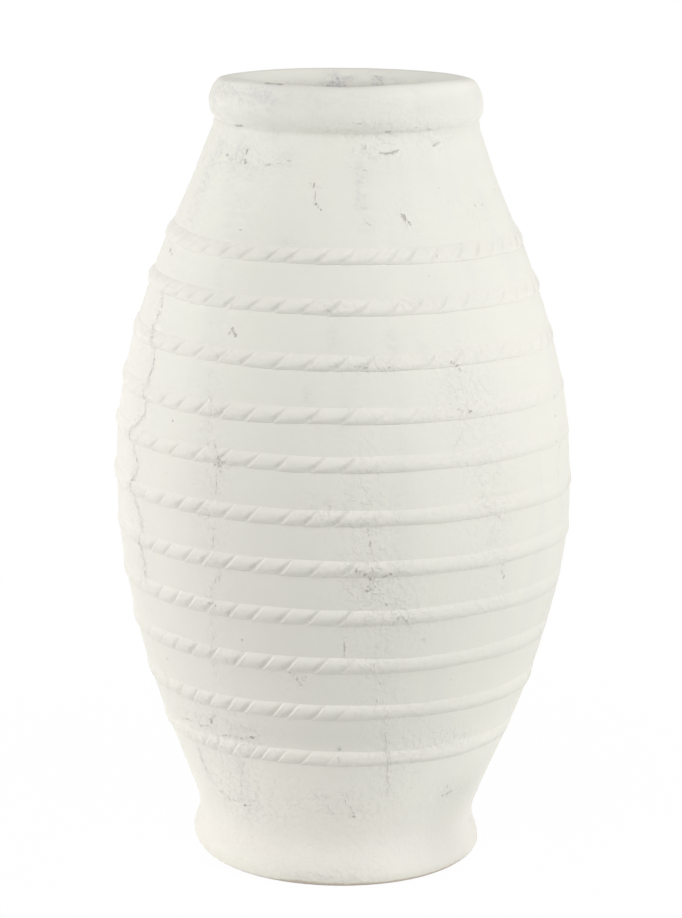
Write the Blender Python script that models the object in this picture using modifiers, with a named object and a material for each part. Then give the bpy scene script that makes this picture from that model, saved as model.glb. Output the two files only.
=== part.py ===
# Tall terracotta jar with a limewashed skin and eleven rope bands laid round its body.
# Metres, +Z up. The origin is on the axis, on the ground under the foot.
# A potter makes the jar as separate turned sections and clay ropes, luted together before firing.

import bmesh
import bpy
from math import ceil, cos, hypot, pi, radians, sin

# Outline of the wall, read up the outside as rises from one height to the next.
# The radii at waist, belly and neck lead, and the ones between are steps from these.
WAIST_HEIGHT = 0.0384
WAIST_RADIUS = 0.1065
FLARE_RISE = 0.0216
FLARE_OVER_WAIST = 0.0063
LOWER_RISE = 0.0380
LOWER_OVER_WAIST = 0.0221
HIP_RISE = 0.0820
HIP_UNDER_BELLY = 0.0170
BELLY_RISE = 0.1230
BELLY_RADIUS = 0.1735
UPPER_RISE = 0.1170
UPPER_UNDER_BELLY = 0.0171
SHOULDER_RISE = 0.0840
SHOULDER_OVER_NECK = 0.0249
COLLAR_RISE = 0.0450
COLLAR_OVER_NECK = 0.0072
NECK_RISE = 0.0236
NECK_RADIUS = 0.1001

# Foot, a thick roll of clay round the floor
FOOT_UNDERSIDE_INSET = 0.0130
FOOT_BULGE_HEIGHT = 0.0185
FOOT_BULGE_OVER_WAIST = 0.0038
FLOOR_SEAT_HEIGHT = 0.0040
FLOOR_SEAT_WIDTH = 0.0080
FLOOR_THICKNESS = 0.0140
FLOOR_EDGE_EASING = 0.0015

# Lip, a heavy roll of clay round the mouth
LIP_BULGE_RISE = 0.0155
LIP_BULGE_OVER_NECK = 0.0035
LIP_CROWN_RISE = 0.0160
LIP_CROWN_UNDER_NECK = 0.0046
LIP_INNER_DROP = 0.0090

# Wall and the tongue and groove that each section is luted together with
WALL_THICKNESS = 0.0120
TONGUE_WIDTH = 0.0042
TONGUE_HEIGHT = 0.0050
TONGUE_DRAFT = 0.0006
SLIP_GAP = 0.0003

# Rope bands, each laid this far above the one below it, the first one above the waist
BAND_RISES = (
    0.0739, 0.0394, 0.0395, 0.0389, 0.0376, 0.0382, 0.0394, 0.0341, 0.0381, 0.0379, 0.0348,
)
SEAM_BAND = 6
BAND_HEIGHT = 0.0124
BAND_RELIEF = 0.0020
TWISTS_ROUND = 48
TWIST_DEPTH = 0.0011
TWIST_LEAN = 0.97

# Smoothness of the turned shapes
RING_STEPS = 48
ARC_POINTS = 4
BARE_WALL_STEP = 0.0200
ROPE_TO_ROPE_MOST = 0.0450
INSIDE_STEP = 0.0480
SLOPE_STEP = 0.00001
SMOOTH_BELOW_DEGREES = 40
EDGE_EASED_OVER_DEGREES = 60

# Colours of the fired clay and of the wash over it, and how matte each is
LIMEWASH = (0.80, 0.77, 0.68)
WARM_LIMEWASH = (0.76, 0.70, 0.59)
BARE_CLAY = (0.50, 0.36, 0.25)
LIMEWASH_ROUGHNESS = 0.85
WARM_LIMEWASH_ROUGHNESS = 0.88
BARE_CLAY_ROUGHNESS = 0.92


def stations_up_the_wall():
    """The outline's points as (height, radius), from the waist to the neck."""
    rises = (
        (WAIST_HEIGHT, WAIST_RADIUS),
        (FLARE_RISE, WAIST_RADIUS + FLARE_OVER_WAIST),
        (LOWER_RISE, WAIST_RADIUS + LOWER_OVER_WAIST),
        (HIP_RISE, BELLY_RADIUS - HIP_UNDER_BELLY),
        (BELLY_RISE, BELLY_RADIUS),
        (UPPER_RISE, BELLY_RADIUS - UPPER_UNDER_BELLY),
        (SHOULDER_RISE, NECK_RADIUS + SHOULDER_OVER_NECK),
        (COLLAR_RISE, NECK_RADIUS + COLLAR_OVER_NECK),
        (NECK_RISE, NECK_RADIUS),
    )
    height = 0.0
    found = []
    for rise, radius in rises:
        height += rise
        found.append((height, radius))
    return found


STATIONS = stations_up_the_wall()
NECK_HEIGHT = STATIONS[-1][0]


def station_slope(index):
    """Slope of the outline at a station. The waist is where it stands upright."""
    if index == 0:
        return 0.0
    low = STATIONS[index - 1]
    here = STATIONS[index]
    if index == len(STATIONS) - 1:
        return (here[1] - low[1]) / (here[0] - low[0])
    high = STATIONS[index + 1]
    before = (here[1] - low[1]) / (here[0] - low[0])
    after = (high[1] - here[1]) / (high[0] - here[0])
    span = high[0] - low[0]
    return (before * (high[0] - here[0]) + after * (here[0] - low[0])) / span


def wall_radius(height):
    """Outer radius of the bare wall at a height, on a smooth curve through the stations."""
    index = 0
    while index < len(STATIONS) - 2 and height > STATIONS[index + 1][0]:
        index += 1
    low_height, low_radius = STATIONS[index]
    high_height, high_radius = STATIONS[index + 1]
    span = high_height - low_height
    t = (height - low_height) / span
    rise = 3 * t * t - 2 * t * t * t
    leave = (t - 2 * t * t + t * t * t) * span * station_slope(index)
    arrive = (t * t * t - t * t) * span * station_slope(index + 1)
    return low_radius + (high_radius - low_radius) * rise + leave + arrive


def wall_slope(height):
    change = wall_radius(height + SLOPE_STEP) - wall_radius(height - SLOPE_STEP)
    return change / (2 * SLOPE_STEP)


def inner_radius(height):
    """Inner radius of the wall, which keeps its thickness square to the outer face."""
    return wall_radius(height) - WALL_THICKNESS * hypot(1.0, wall_slope(height))


def heights_between(low, high, step):
    """Evenly spaced heights from low to high, no further apart than step."""
    count = max(1, ceil((high - low) / step))
    return [low + (high - low) * i / count for i in range(count + 1)]


def band_heights():
    height = WAIST_HEIGHT
    found = []
    for rise in BAND_RISES:
        height += rise
        found.append(height)
    return found


def outside_heights(low, high):
    """Heights of the outline's points: one behind each rope, and closer ones where the wall is bare."""
    stops = [low] + [height for height in band_heights() if low < height < high] + [high]
    found = [low]
    for below, above in zip(stops, stops[1:]):
        bare = above - below > ROPE_TO_ROPE_MOST
        step = BARE_WALL_STEP if bare else ROPE_TO_ROPE_MOST
        found += heights_between(below, above, step)[1:]
    return found


WALL_SEAM_HEIGHT = band_heights()[SEAM_BAND - 1]


def quarter_arc(start, corner, end):
    """Points of a quarter ellipse from start to end, bulging towards corner, without its first."""
    points = []
    for i in range(1, ARC_POINTS + 1):
        angle = 0.5 * pi * i / ARC_POINTS
        along = 1.0 - cos(angle)
        across = sin(angle)
        points.append((
            start[0] + (corner[0] - start[0]) * across + (end[0] - corner[0]) * along,
            start[1] + (corner[1] - start[1]) * across + (end[1] - corner[1]) * along,
        ))
    return points


def easing(start, end):
    """Points that ease from start to end and stand upright at both, without either."""
    points = []
    for i in range(1, ARC_POINTS - 1):
        t = i / (ARC_POINTS - 1)
        eased = 0.5 - 0.5 * cos(pi * t)
        points.append((start[0] + (end[0] - start[0]) * eased, start[1] + (end[1] - start[1]) * t))
    return points


def seam_middle(height):
    return 0.5 * (wall_radius(height) + inner_radius(height))


def tongue(height):
    """Raised ridge on top of a section, walked outwards."""
    middle = seam_middle(height)
    root = 0.5 * TONGUE_WIDTH
    tip = root - TONGUE_DRAFT
    top = height + TONGUE_HEIGHT
    return [(middle - root, height), (middle - tip, top), (middle + tip, top), (middle + root, height)]


def groove(height):
    """Slot under the next section, which clears the tongue by the slip gap, walked inwards."""
    middle = seam_middle(height)
    root = 0.5 * TONGUE_WIDTH + SLIP_GAP
    tip = root - TONGUE_DRAFT
    face = height + SLIP_GAP
    top = height + TONGUE_HEIGHT + SLIP_GAP
    return [(middle + root, face), (middle + tip, top), (middle - tip, top), (middle - root, face)]


def foot_outline():
    """Foot roll with its floor seat inside and the tongue for the lower wall on top."""
    seat_radius = inner_radius(WAIST_HEIGHT)
    bore = seat_radius - FLOOR_SEAT_WIDTH
    bulge_radius = WAIST_RADIUS + FOOT_BULGE_OVER_WAIST
    bulge = (bulge_radius, FOOT_BULGE_HEIGHT)
    underside = (WAIST_RADIUS - FOOT_UNDERSIDE_INSET, 0.0)
    waist = (WAIST_RADIUS, WAIST_HEIGHT)
    points = [waist] + easing(waist, bulge) + [bulge]
    points += quarter_arc(bulge, (bulge_radius, 0.0), underside)
    points += [(bore, 0.0), (bore, FLOOR_SEAT_HEIGHT), (seat_radius, FLOOR_SEAT_HEIGHT)]
    points += [(seat_radius, WAIST_HEIGHT)]
    return points + tongue(WAIST_HEIGHT)


def wall_outline(low, high):
    """A wall section with a groove under it and a tongue on top."""
    foot = low + SLIP_GAP
    outside = [(wall_radius(h), h) for h in outside_heights(foot, high)]
    inside = [(inner_radius(h), h) for h in heights_between(foot, high, INSIDE_STEP)]
    return outside[::-1] + groove(low) + inside + tongue(high)


def lip_outline():
    """Lip roll with a hollow under it, a full bulge and a rounded crown."""
    foot = NECK_HEIGHT + SLIP_GAP
    bulge_height = NECK_HEIGHT + LIP_BULGE_RISE
    crown_height = bulge_height + LIP_CROWN_RISE
    mouth_radius = inner_radius(NECK_HEIGHT)
    bulge_radius = NECK_RADIUS + LIP_BULGE_OVER_NECK
    crown = (NECK_RADIUS - LIP_CROWN_UNDER_NECK, crown_height)
    bulge = (bulge_radius, bulge_height)
    throat = (mouth_radius, crown_height - LIP_INNER_DROP)
    hollow = (NECK_RADIUS, foot)
    crown_in = quarter_arc(throat, (mouth_radius, crown_height), crown)
    points = [crown]
    points += quarter_arc(bulge, (bulge_radius, crown_height), crown)[-2::-1]
    points += [bulge] + easing(bulge, hollow) + [hollow]
    points += groove(NECK_HEIGHT)
    points += [(mouth_radius, foot), throat]
    return points + crown_in[:-1]


def clay(name, colour, roughness):
    material = bpy.data.materials.new(name)
    material.use_nodes = True
    shader = material.node_tree.nodes["Principled BSDF"]
    shader.inputs["Base Color"].default_value = (*colour, 1.0)
    shader.inputs["Roughness"].default_value = roughness
    shader.inputs["Metallic"].default_value = 0.0
    return material


def add_piece(name, mesh, material, collection):
    mesh.materials.append(material)
    piece = bpy.data.objects.new(name, mesh)
    collection.objects.link(piece)
    return piece


def turned_piece(name, outline, material, collection):
    """A ring turned from a closed outline of (radius, height) points."""
    section = bpy.data.meshes.new(name + "_section")
    count = len(outline)
    edges = [(i, (i + 1) % count) for i in range(count)]
    section.from_pydata([(radius, 0.0, height) for radius, height in outline], edges, [])
    profile = bpy.data.objects.new(name + "_profile", section)
    collection.objects.link(profile)
    screw = profile.modifiers.new("turning", "SCREW")
    screw.angle = 2 * pi
    screw.steps = RING_STEPS
    screw.render_steps = RING_STEPS
    screw.use_merge_vertices = False
    turned = profile.evaluated_get(bpy.context.evaluated_depsgraph_get())
    mesh = bpy.data.meshes.new_from_object(turned)
    mesh.name = name
    bpy.data.objects.remove(profile)
    bpy.data.meshes.remove(section)
    return add_piece(name, mesh, material, collection)


def floor_slab(collection):
    """The round slab that closes the jar, let down onto the seat inside the foot."""
    radius = inner_radius(WAIST_HEIGHT) - SLIP_GAP
    mesh = bpy.data.meshes.new("floor_slab")
    bm = bmesh.new()
    bmesh.ops.create_cone(
        bm,
        cap_ends=True,
        segments=RING_STEPS,
        radius1=radius,
        radius2=radius,
        depth=FLOOR_THICKNESS,
    )
    bm.to_mesh(mesh)
    bm.free()
    floor_clay = clay("floor_slab", BARE_CLAY, BARE_CLAY_ROUGHNESS)
    piece = add_piece("floor_slab", mesh, floor_clay, collection)
    piece.location.z = FLOOR_SEAT_HEIGHT + SLIP_GAP + 0.5 * FLOOR_THICKNESS
    eased = piece.modifiers.new("eased_edges", "BEVEL")
    eased.width = FLOOR_EDGE_EASING
    eased.segments = 1
    eased.angle_limit = radians(EDGE_EASED_OVER_DEGREES)
    return piece


def foot_ring(collection):
    washed = clay("foot_ring", WARM_LIMEWASH, WARM_LIMEWASH_ROUGHNESS)
    return turned_piece("foot_ring", foot_outline(), washed, collection)


def lower_wall(collection):
    washed = clay("lower_wall", LIMEWASH, LIMEWASH_ROUGHNESS)
    return turned_piece("lower_wall", wall_outline(WAIST_HEIGHT, WALL_SEAM_HEIGHT), washed, collection)


def upper_wall(collection):
    washed = clay("upper_wall", LIMEWASH, LIMEWASH_ROUGHNESS)
    return turned_piece("upper_wall", wall_outline(WALL_SEAM_HEIGHT, NECK_HEIGHT), washed, collection)


def lip_coil(collection):
    washed = clay("lip_coil", LIMEWASH, LIMEWASH_ROUGHNESS)
    return turned_piece("lip_coil", lip_outline(), washed, collection)


def rope_section():
    """Half round section of a rope as (rise from its middle, share of its relief), walked round."""
    return ((0.50, 0.0), (0.24, 0.86), (-0.26, 1.0), (-0.50, 0.0))


def rope_band(name, height, collection):
    """A rope of clay pressed round the wall, its twists leaning up to the right."""
    section = rope_section()
    columns = 2 * TWISTS_ROUND
    bm = bmesh.new()
    rings = []
    for column in range(columns):
        pressed = column % 2 == 1
        ring = []
        for rise, share in section:
            z = rise * BAND_HEIGHT
            back = wall_radius(height + z) + SLIP_GAP
            relief = share * (BAND_RELIEF - TWIST_DEPTH if pressed else BAND_RELIEF)
            lean = TWIST_LEAN * z / back if share > 0 else 0.0
            angle = 2 * pi * column / columns + lean
            radius = back + relief
            ring.append(bm.verts.new((radius * cos(angle), radius * sin(angle), z)))
        rings.append(ring)
    for column in range(columns):
        here = rings[column]
        there = rings[(column + 1) % columns]
        for i in range(len(section)):
            j = (i + 1) % len(section)
            bm.faces.new((here[i], here[j], there[j], there[i]))
    mesh = bpy.data.meshes.new(name)
    bmesh.ops.recalc_face_normals(bm, faces=bm.faces)
    bm.to_mesh(mesh)
    bm.free()
    piece = add_piece(name, mesh, clay(name, LIMEWASH, LIMEWASH_ROUGHNESS), collection)
    piece.location.z = height
    return piece


def shade(piece):
    piece.data.shade_smooth()
    piece.data.set_sharp_from_angle(angle=radians(SMOOTH_BELOW_DEGREES))


def build():
    for obj in list(bpy.data.objects):
        bpy.data.objects.remove(obj)
    jar = bpy.data.collections.new("rope_band_jar")
    bpy.context.scene.collection.children.link(jar)
    floor_slab(jar)
    foot_ring(jar)
    lower_wall(jar)
    upper_wall(jar)
    lip_coil(jar)
    for number, height in enumerate(band_heights(), start=1):
        rope_band(f"rope_band_{number:02d}", height, jar)
    for piece in jar.objects:
        shade(piece)


build()
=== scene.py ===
# Finished look of a tall limewashed terracotta jar with a rolled lip and eleven ropes of clay round its body.
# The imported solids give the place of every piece. Each section below makes the finished clay of one of them.
# Lengths are in metres unless a name says millimetres. Azimuths are in degrees round the axis, counted from
# the photographed side and growing to the right.

from functools import partial, reduce

import bpy
import numpy as np
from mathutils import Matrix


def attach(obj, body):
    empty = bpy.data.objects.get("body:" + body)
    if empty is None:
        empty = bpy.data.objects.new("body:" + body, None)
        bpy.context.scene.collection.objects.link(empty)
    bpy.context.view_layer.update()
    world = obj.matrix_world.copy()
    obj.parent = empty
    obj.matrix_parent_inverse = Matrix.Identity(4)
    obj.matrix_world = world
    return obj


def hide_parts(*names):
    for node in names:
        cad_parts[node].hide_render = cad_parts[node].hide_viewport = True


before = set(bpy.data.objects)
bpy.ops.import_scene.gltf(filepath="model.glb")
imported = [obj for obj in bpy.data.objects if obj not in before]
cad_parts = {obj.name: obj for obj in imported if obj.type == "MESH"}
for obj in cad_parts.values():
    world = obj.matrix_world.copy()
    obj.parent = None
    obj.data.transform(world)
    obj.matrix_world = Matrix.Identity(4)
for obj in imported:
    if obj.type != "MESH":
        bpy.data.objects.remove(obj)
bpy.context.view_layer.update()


# The view
# The photograph is taken from three metres, a little above the rim, with the camera tipped down
# at the belly and not quite level, so that the jar leans slightly to the right in the frame.
VIEW_HEIGHT = 918
CAMERA_PLACE = (-0.0009, -3.0, 0.9716)
CAMERA_TIPPED_DOWN = 0.21685
CAMERA_OFF_LEVEL = 0.01135
FOCAL_LENGTH_IN_PIXELS = 4015.76
FILM_HEIGHT_MM = 24.0


def add_object(name, data):
    thing = bpy.data.objects.new(name, data)
    bpy.context.scene.collection.objects.link(thing)
    return thing


camera_data = bpy.data.cameras.new("camera")
camera_data.sensor_fit = "VERTICAL"
camera_data.sensor_height = FILM_HEIGHT_MM
camera_data.lens = FOCAL_LENGTH_IN_PIXELS * FILM_HEIGHT_MM / VIEW_HEIGHT
camera = add_object("camera", camera_data)
camera.location = CAMERA_PLACE
camera.rotation_mode = "ZXY"
camera.rotation_euler = (np.pi / 2 - CAMERA_TIPPED_DOWN, 0.0, CAMERA_OFF_LEVEL)
bpy.context.scene.camera = camera


# The studio
# A white sweep of floor under the jar, tall soft boxes on both sides and one overhead, and no lamp
# beside the camera, so that the jar is brightest along its sides and dullest down the middle.
FLOOR_HALF_WIDTH = 4.0
FLOOR_WHITE = (0.95, 0.95, 0.94, 1.0)
FLOOR_GLOW_TO_CAMERA = 0.985
SHADOW_REACH = (0.25, 0.9)
ROOM_LIGHT = 0.34
SOFT_BOXES = (
    # name, place, what it points at, width, height, watts
    ("left_strip", (-1.5, -0.1, 0.12), (0.0, 0.0, 0.45), 0.8, 0.25, 8.8),
    ("left_back", (-1.4, 1.2, 0.7), (0.0, 0.0, 0.30), 1.2, 1.2, 4.7),
    ("right_box", (1.9, 0.0, 0.45), (0.0, 0.0, 0.30), 1.2, 1.2, 9.8),
    ("right_front", (1.7, -1.2, 0.7), (0.0, 0.0, 0.30), 1.0, 1.2, 9.1),
    ("right_back", (1.4, 1.2, 0.7), (0.0, 0.0, 0.30), 1.2, 1.2, 4.3),
    ("top_front", (-0.2, -1.2, 1.9), (0.0, 0.0, 0.30), 1.2, 1.0, 15.1),
)


class Signal:
    """A value in a shader. The sums and products written with it become nodes of that shader."""

    def __init__(self, node, output=0):
        self.tree = node.id_data
        self.socket = node.outputs[output]

    def __add__(self, other):
        return maths("ADD", self, other)

    def __sub__(self, other):
        return maths("SUBTRACT", self, other)

    def __rsub__(self, other):
        return maths("SUBTRACT", other, self)

    def __mul__(self, other):
        return maths("MULTIPLY", self, other)

    def __truediv__(self, other):
        return maths("DIVIDE", self, other)

    def eased(self, low, high, bottom=0.0, top=1.0):
        """Eases from bottom to top while the value goes from low to high."""
        inputs = {"Value": self, "From Min": low, "From Max": high, "To Min": bottom, "To Max": top}
        return Signal(put(self.tree, "ShaderNodeMapRange", inputs, interpolation_type="SMOOTHSTEP"))


def put(tree, kind, inputs=None, **settings):
    """Adds a node, sets what it is told to, and links or fills its inputs by name or by number."""
    node = tree.nodes.new(kind)
    for name, value in settings.items():
        setattr(node, name, value)
    for name, value in (inputs or {}).items():
        if isinstance(value, bpy.types.Node):
            value = Signal(value)
        if isinstance(value, Signal):
            tree.links.new(value.socket, node.inputs[name])
        else:
            node.inputs[name].default_value = value
    return node


def maths(operation, first, second=0.0, clamp=False):
    """A sum, a product or the like of two values, one of which at least is a signal."""
    tree = (first if isinstance(first, Signal) else second).tree
    return Signal(put(tree, "ShaderNodeMath", {0: first, 1: second}, operation=operation, use_clamp=clamp))


def empty_material(name):
    material = bpy.data.materials.new(name)
    material.use_nodes = True
    material.node_tree.nodes.clear()
    return material, material.node_tree


def seen_itself(tree):
    """1 where the camera sees this, also in a reflection or through glass, and 0 where it lights the jar."""
    rays = put(tree, "ShaderNodeLightPath")
    mirrored = maths("MAXIMUM", Signal(rays, "Is Glossy Ray"), Signal(rays, "Is Transmission Ray"))
    return maths("MAXIMUM", Signal(rays, "Is Camera Ray"), mirrored)


sweep_mesh = bpy.data.meshes.new("floor")
half = FLOOR_HALF_WIDTH
floor_corners = [(-half, -half, 0), (half, -half, 0), (half, half, 0), (-half, half, 0)]
sweep_mesh.from_pydata(floor_corners, [], [(0, 1, 2, 3)])
floor = add_object("floor", sweep_mesh)
floor_paint, tree = empty_material("floor_paint")
painted = put(tree, "ShaderNodeBsdfDiffuse", {"Color": FLOOR_WHITE})
glow = put(tree, "ShaderNodeEmission", {"Color": (1, 1, 1, 1), "Strength": 1.0})
place = Signal(put(tree, "ShaderNodeTexCoord"), "Object")
away = Signal(put(tree, "ShaderNodeVectorMath", {0: place}, operation="LENGTH"), "Value")
share = seen_itself(tree) * away.eased(*SHADOW_REACH, FLOOR_GLOW_TO_CAMERA, 1.0)
both = put(tree, "ShaderNodeMixShader", {0: share, 1: painted, 2: glow})
put(tree, "ShaderNodeOutputMaterial", {"Surface": both})
sweep_mesh.materials.append(floor_paint)

world = bpy.data.worlds.new("room")
bpy.context.scene.world = world
world.use_nodes = True
tree = world.node_tree
tree.nodes.clear()
seen = seen_itself(tree)
level = put(tree, "ShaderNodeMapRange", {"Value": seen, "To Min": ROOM_LIGHT, "To Max": 1.0})
air = put(tree, "ShaderNodeBackground", {"Color": (1, 1, 1, 1), "Strength": level})
put(tree, "ShaderNodeOutputWorld", {"Surface": air})

for name, place, target, width, height, watts in SOFT_BOXES:
    lamp = bpy.data.lights.new(name, "AREA")
    lamp.shape = "RECTANGLE"
    lamp.size = width
    lamp.size_y = height
    lamp.energy = watts
    box = add_object(name, lamp)
    box.location = place
    aim = np.array(target) - np.array(place)
    across = np.hypot(aim[0], aim[1])
    box.rotation_euler = (np.pi / 2 + np.arctan2(aim[2], across), 0.0, np.arctan2(-aim[0], aim[1]))

bpy.context.scene.view_settings.view_transform = "Standard"


# The floor of the jar
# A round slab of bare fired clay, let down inside the foot before the wall was raised on it.
# It keeps the colour of the clay, with the dust and limewash spots that fell in from above.
BARE_CLAY = (0.43, 0.27, 0.18, 1.0)
PALE_CLAY = (0.58, 0.42, 0.31, 1.0)
CLAY_DUST = (0.70, 0.66, 0.58, 1.0)


def shader_group(name, given, results):
    """A new shader group with its named inputs and their usual values, and its named outputs."""
    group = bpy.data.node_groups.new(name, "ShaderNodeTree")
    for label, value in given.items():
        socket = group.interface.new_socket(name=label, in_out="INPUT", socket_type="NodeSocketFloat")
        socket.default_value = value
    for label in results:
        group.interface.new_socket(name=label, in_out="OUTPUT", socket_type="NodeSocketFloat")
    inputs = group.nodes.new("NodeGroupInput")
    return group, [Signal(inputs, label) for label in given]


def use_group(tree, group, **given):
    inputs = {name.replace("_", " "): value for name, value in given.items()}
    node = put(tree, "ShaderNodeGroup", inputs, node_tree=group)
    return {output.name: Signal(node, output.name) for output in node.outputs}


def mottle(tree, scale, detail=2.0, roughness=0.5, stretch=(1.0, 1.0), skew=0.0):
    """Soft noise over the clay, scale being its spots in a metre, stretched as (round, up)."""
    place = Signal(put(tree, "ShaderNodeTexCoord"), "Object")
    across, up = stretch
    scaled = put(tree, "ShaderNodeMapping", {
        "Vector": place, "Location": (skew, skew * 0.7, skew * 1.3), "Scale": (across, across, up),
    })
    inputs = {"Vector": scaled, "Scale": scale, "Detail": detail, "Roughness": roughness}
    return Signal(put(tree, "ShaderNodeTexNoise", inputs), "Fac")


def blend(share, first, second):
    """The first colour with as much of the second over it as the share says."""
    return Signal(put(share.tree, "ShaderNodeMix", {0: share, 6: first, 7: second}, data_type="RGBA"), 2)


def finish_clay(colour, roughness, height):
    """The shader of a dry mineral surface. The height is in millimetres."""
    tree = colour.tree
    bump = put(tree, "ShaderNodeBump", {"Strength": 1.0, "Distance": 0.001, "Height": height})
    shader = put(tree, "ShaderNodeBsdfPrincipled", {
        "Base Color": colour, "Roughness": roughness, "Specular IOR Level": 0.25, "Normal": bump,
    })
    put(tree, "ShaderNodeOutputMaterial", {"Surface": shader})


# Grain of the fired clay, the same in every material: height in millimetres and a tone from 0 to 1
clay_grain, (coarse_mm, fine_mm) = shader_group(
    "clay_grain", {"Coarse mm": 0.05, "Fine mm": 0.02}, ("Height", "Tone")
)
coarse = mottle(clay_grain, 420.0, 3.0, 0.6)
fine = mottle(clay_grain, 1500.0, 2.0, 0.6, skew=3.1)
put(clay_grain, "NodeGroupOutput", {
    "Height": fine * fine_mm + coarse * coarse_mm, "Tone": fine * 0.4 + coarse * 0.6,
})

bare_clay, tree = empty_material("bare_clay")
grain = use_group(tree, clay_grain, Coarse_mm=0.25, Fine_mm=0.10)
colour = blend(mottle(tree, 28.0, 3.0).eased(0.35, 0.65), BARE_CLAY, PALE_CLAY)
dust = mottle(tree, 75.0, 4.0, 0.65, skew=5.0).eased(0.50, 0.68)
colour = blend(dust, colour, CLAY_DUST)
colour = blend(grain["Tone"].eased(0.35, 0.65, 0.0, 0.25), colour, BARE_CLAY)
finish_clay(colour, dust.eased(0.0, 1.0, 0.86, 0.95), grain["Height"])
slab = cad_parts["floor_slab"]
slab.material_slots[0].material = bare_clay


# The foot
# A thick roll of clay under the wall, pressed round with wet fingers to a bulge and a waist.
# Its washed skin is worn back to brown clay along the edge that the jar stands on.
OUTLINE = (
    # height and radius of the jar's outside in millimetres, from the ground to the neck
    (0, 94), (0.8, 97.6), (2.4, 101.2), (5.4, 105.5), (9.6, 108.7), (14.4, 110), (19.8, 110.2),
    (25.8, 108.8), (32.4, 107), (38.4, 106.5), (43.8, 107.2), (48.6, 108.5), (54, 110.5), (60, 112.9),
    (69, 116.7), (90, 125.2), (112, 134.2), (132, 141.6), (156, 149.6), (180, 156.4), (204, 162.2),
    (228, 167.1), (252, 170.8), (276, 173), (300, 173.7), (324, 173.2), (348, 171.2), (372, 167.8),
    (396, 162.8), (420, 156.4), (444, 149), (468, 140.7), (486, 133.5), (504, 125.4), (519, 118.9),
    (534, 112.8), (549, 107.2), (556.8, 104.6), (561.6, 103), (567, 101.5), (572.7, 100.1),
)
WALL_THICKNESS_MM = 12.0
WAIST_HEIGHT_MM = 38.4
SLIP_GAP_MM = 0.3
OUTLINE_SLOPE_STEP_MM = 0.5


def smooth_through(points, at):
    """A smooth curve through (x, y) points, read at each x."""
    points = np.array(points, dtype=float)
    x, y = points[:, 0], points[:, 1]
    steps = np.diff(x)
    rises = np.diff(y) / steps
    slopes = np.empty(len(x))
    slopes[0], slopes[-1] = rises[0], rises[-1]
    slopes[1:-1] = (rises[:-1] * steps[1:] + rises[1:] * steps[:-1]) / (steps[1:] + steps[:-1])
    at = np.asarray(at, dtype=float)
    i = np.clip(np.searchsorted(x, at) - 1, 0, len(x) - 2)
    span = steps[i]
    t = np.clip((at - x[i]) / span, 0.0, 1.0)
    eased = t * t * (3 - 2 * t)
    leave = t * (1 - t) ** 2 * span * slopes[i]
    arrive = -t * t * (1 - t) * span * slopes[i + 1]
    return y[i] + (y[i + 1] - y[i]) * eased + leave + arrive


SHRUNK_MM = (
    # how much the drying drew the wall in, at each height
    (0, 0.8), (12, 0.6), (30, 1.1), (46, 0.7), (60, 0.95), (100, 0.9), (150, 0.8), (200, 0.55), (300, 0.4),
    (400, 0.5), (520, 0.5), (556, 0.4), (562, 0.75), (567, 1), (570, 0.8), (573, 0.3),
)


def outside_radius(height_mm):
    return smooth_through(OUTLINE, height_mm) - smooth_through(SHRUNK_MM, height_mm)


LEANING_MM = (
    # how far the middle of the jar stands to the right of a true axis, at each height
    (0, 0.4), (4, 0.05), (10, -0.5), (16, -1.8), (22, -2.7), (28, -2.8), (34, -2.3), (40, -1.95),
    (48, -1.2), (66, -0.8), (80, -0.5), (100, 0.1), (120, 0.35), (140, 0.8), (180, 1.1), (210, 1.6),
    (250, 1.6), (285, 1.4), (300, 0.9), (330, 0.3), (360, 0.1), (390, -0.4), (420, -0.3), (450, -0.5),
    (510, -0.6), (555, -0.2), (578, 0.2), (590, -0.5), (604, 0), (612, 0),
)


def inside_radius(height_mm):
    """Inner radius of the wall, which is as thick square to its face everywhere."""
    above = outside_radius(np.asarray(height_mm) + OUTLINE_SLOPE_STEP_MM)
    below = outside_radius(np.asarray(height_mm) - OUTLINE_SLOPE_STEP_MM)
    slope = (above - below) / (2 * OUTLINE_SLOPE_STEP_MM)
    return outside_radius(height_mm) - WALL_THICKNESS_MM * np.hypot(1.0, slope)


hand = np.random.default_rng(20)
HAND_WAVES = [
    # turns round the jar, turns up a metre, where each starts, and its depth in millimetres
    (turns, rises, hand.uniform(0, 2 * np.pi), hand.uniform(0, 2 * np.pi), depth)
    for turns, rises, depth in (
        (2, 1.3, 0.30), (3, 2.6, 0.22), (4, 5.0, 0.14), (5, 3.4, 0.14), (7, 6.2, 0.10),
        (9, 9.0, 0.07), (13, 11.0, 0.05), (17, 19.0, 0.035), (23, 14.0, 0.03),
    )
]
THUMB_DENTS = [
    # azimuth, height in millimetres, half width, depth
    (hand.uniform(-180, 180), hand.uniform(30, 560), hand.uniform(5, 14), hand.uniform(-0.22, 0.16))
    for _ in range(150)
]

# Millimetres for each degree round the wall, near enough for the dents, and then the hollow under the lip
MM_A_DEGREE = 2.6
COVE_AT_MM = 573.2
COVE_HALF_HEIGHT_MM = 4.6
COVE_AZIMUTH = -30.0
COVE_HALF_WIDTH = 56.0
COVE_MM = 1.3


def turned_away(azimuth, from_azimuth):
    """Degrees from one azimuth to another, the short way round."""
    return (azimuth - from_azimuth + 180.0) % 360.0 - 180.0


def hump(away, half_width, power=2):
    """1 where away is nothing, and softly less on both sides of that."""
    return np.exp(-(away / half_width) ** power)


def part_way(value, start, way):
    """How far the value has come from start along a way up or down, from 0 to 1."""
    return np.clip((value - start) / way, 0.0, 1.0)


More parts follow.
